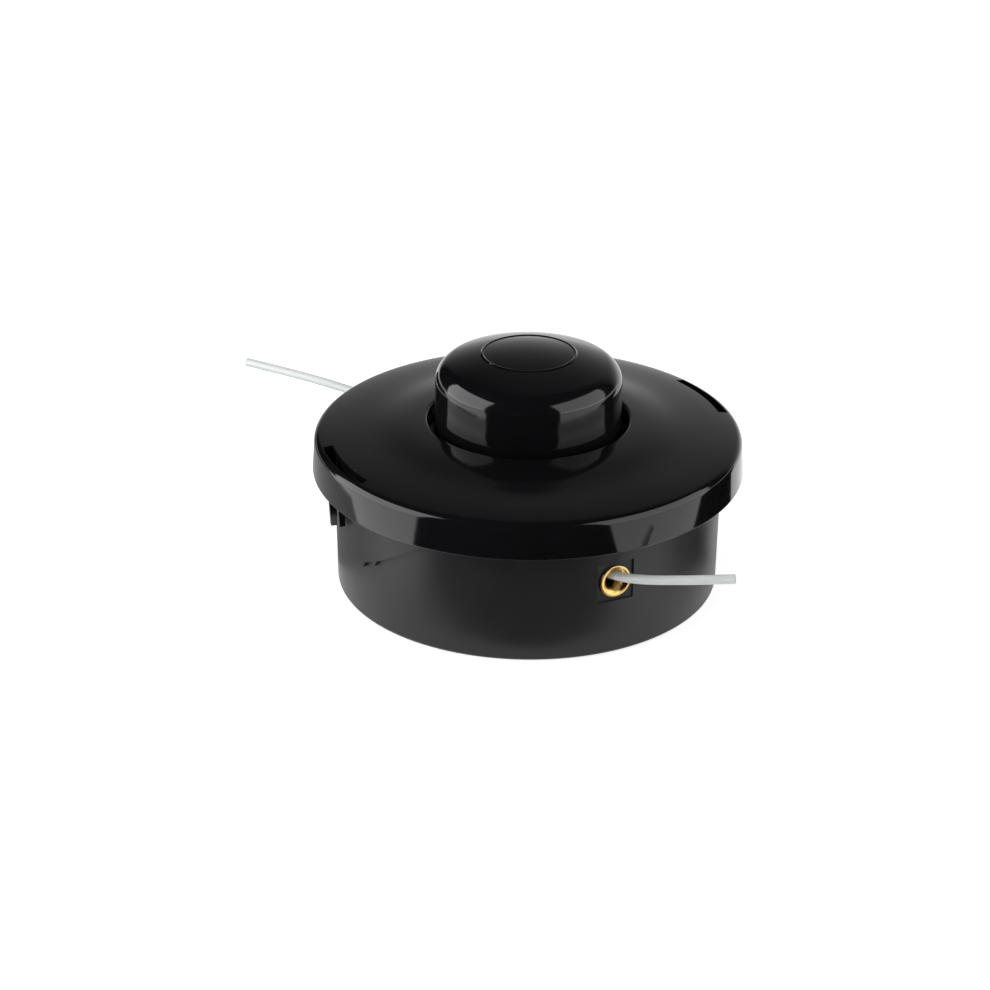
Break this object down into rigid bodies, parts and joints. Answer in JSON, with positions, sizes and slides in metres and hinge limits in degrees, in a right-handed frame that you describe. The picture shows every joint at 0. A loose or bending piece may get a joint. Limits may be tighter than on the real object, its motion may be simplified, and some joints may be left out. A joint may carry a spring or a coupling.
{
  "type": "trimmer head",
  "caption": "Round bump-feed string trimmer head: glossy domed knob and lid over a black moulded cup, brass eyelets and nylon line ends.",
  "frame": {"origin": "centre of the closed base face, on the spin axis", "axes": "+Z along the spin axis towards the knob, +X out of the front eyelet"},
  "size_m": [0.2055, 0.1266, 0.0719],
  "materials": {
    "housing": "satin moulded black",
    "cover": "glossy moulded black",
    "knob": "glossy moulded black",
    "spool": "moulded black",
    "eyelet": "turned",
    "bronze": "sintered",
    "zinc_steel": "zinc plated",
    "bright_steel": "ground",
    "spring_steel": "drawn spring wire",
    "line": "translucent nylon"
  },
  "bodies": {
    "root": {"housing": "housing", "cover": "cover", "eyelet_front": "eyelet", "eyelet_rear": "eyelet", "drive_insert": "zinc_steel", "insert_washer": "zinc_steel", "insert_circlip": "spring_steel", "hub_sleeve": "bright_steel", "spring_base_washer": "zinc_steel", "bump_spring": "spring_steel", "line_tail_front": "line", "line_tail_rear": "line"},
    "thrust_washer": {"spring_top_washer": "zinc_steel"},
    "spool": {"spool": "spool", "spool_bush": "bronze", "line_winding_lower": "line", "line_winding_upper": "line", "bump_knob": "knob", "knob_screws": "zinc_steel"}
  },
  "joints": [
    {"name": "knob_press", "type": "slide", "parent": "root", "child": "thrust_washer", "axis": [0, 0, -1], "range_m": [0, 0.006], "stiffness_N_per_m": 2500, "springref_m": -0.008, "deforming": ["bump_spring"]},
    {"name": "line_feed", "type": "hinge", "parent": "thrust_washer", "child": "spool", "pos_m": [0, 0, 0.0285], "axis": [0, 0, 1], "range_deg": [-37, 0]}
  ]
}
